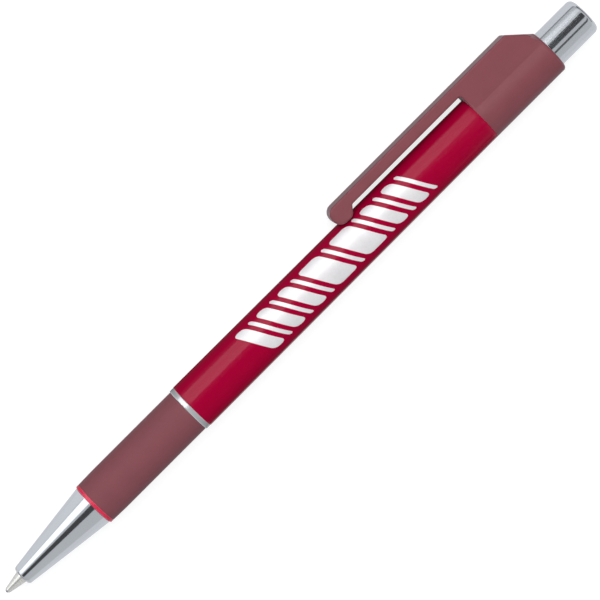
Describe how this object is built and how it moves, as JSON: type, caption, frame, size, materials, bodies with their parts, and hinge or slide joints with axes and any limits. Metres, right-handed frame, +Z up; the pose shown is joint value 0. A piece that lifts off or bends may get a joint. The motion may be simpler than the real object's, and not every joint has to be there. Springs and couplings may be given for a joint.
{
  "type": "retractable ballpoint pen",
  "caption": "Retractable ballpoint pen: plated nose, soft grip, tapered barrel, moulded cap with a flat clip, and a plated push button.",
  "frame": {"origin": "bottom centre of the pen's box as it lies on a table, resting on its barrel and on one edge of its clip", "axes": "+X along the pen from the writing tip to the push button; +Y towards the side that the clip is on; +Z up from the table"},
  "size_m": [0.14, 0.0124, 0.0091],
  "materials": {
    "nose_plating": "bright plating",
    "core_plastic": "tinted clear red plastic, glossy",
    "grip_rubber": "soft matte moulding",
    "ring_plating": "bright plating",
    "barrel_plastic": "glossy, printed",
    "cap_plastic": "satin moulding",
    "guide_plastic": "as moulded",
    "plunger_plastic": "as moulded",
    "button_plating": "bright plating",
    "rotor_plastic": "as moulded",
    "refill_plastic": "milky, half clear",
    "socket_plastic": "as moulded",
    "holder_metal": "turned nickel silver",
    "ball_metal": "ground and polished",
    "ink": "black oil ink",
    "follower_grease": "clear grease",
    "spring_steel": "drawn wire"
  },
  "bodies": {
    "pen_body": {"nose_cone": "nose_plating", "lower_barrel": "core_plastic", "grip_sleeve": "grip_rubber", "centre_ring": "ring_plating", "upper_barrel": "barrel_plastic", "top_housing": "cap_plastic", "guide_sleeve": "guide_plastic", "return_spring": "spring_steel"},
    "button": {"push_button": "button_plating", "plunger": "plunger_plastic"},
    "refill": {"refill_tube": "refill_plastic", "tip_socket": "socket_plastic", "refill_tip": "holder_metal", "ink_column": "ink", "ink_follower": "follower_grease"},
    "rotor": {"rotor_cam": "rotor_plastic"},
    "ball": {"writing_ball": "ball_metal"},
    "clip": {"clip_arm": "cap_plastic"}
  },
  "joints": [
    {"name": "button_slide", "type": "slide", "parent": "pen_body", "child": "button", "axis": [1, 0, 0], "range_m": [-0.001, 0.005]},
    {"name": "refill_slide", "type": "slide", "parent": "pen_body", "child": "refill", "axis": [1, 0, 0], "range_m": [-0.001, 0.005], "deforming": ["return_spring"]},
    {"name": "rotor_turn", "type": "hinge", "parent": "refill", "child": "rotor", "pos_m": [0.0332, -0.0016, 0.00455], "axis": [1, 0, 0], "continuous": true},
    {"name": "ball_roll", "type": "hinge", "parent": "refill", "child": "ball", "pos_m": [-0.0696, -0.0016, 0.00455], "axis": [0, 1, 0], "continuous": true},
    {"name": "clip_flex", "type": "hinge", "parent": "pen_body", "child": "clip", "pos_m": [0.0432, 0.0058, 0.0038], "axis": [0, -0.1013, -0.9949], "range_deg": [0, 3], "stiffness_Nm_per_rad": 3}
  ],
  "couplings": [
    {"joint": "refill_slide", "follows": "button_slide", "ratio": 1}
  ]
}
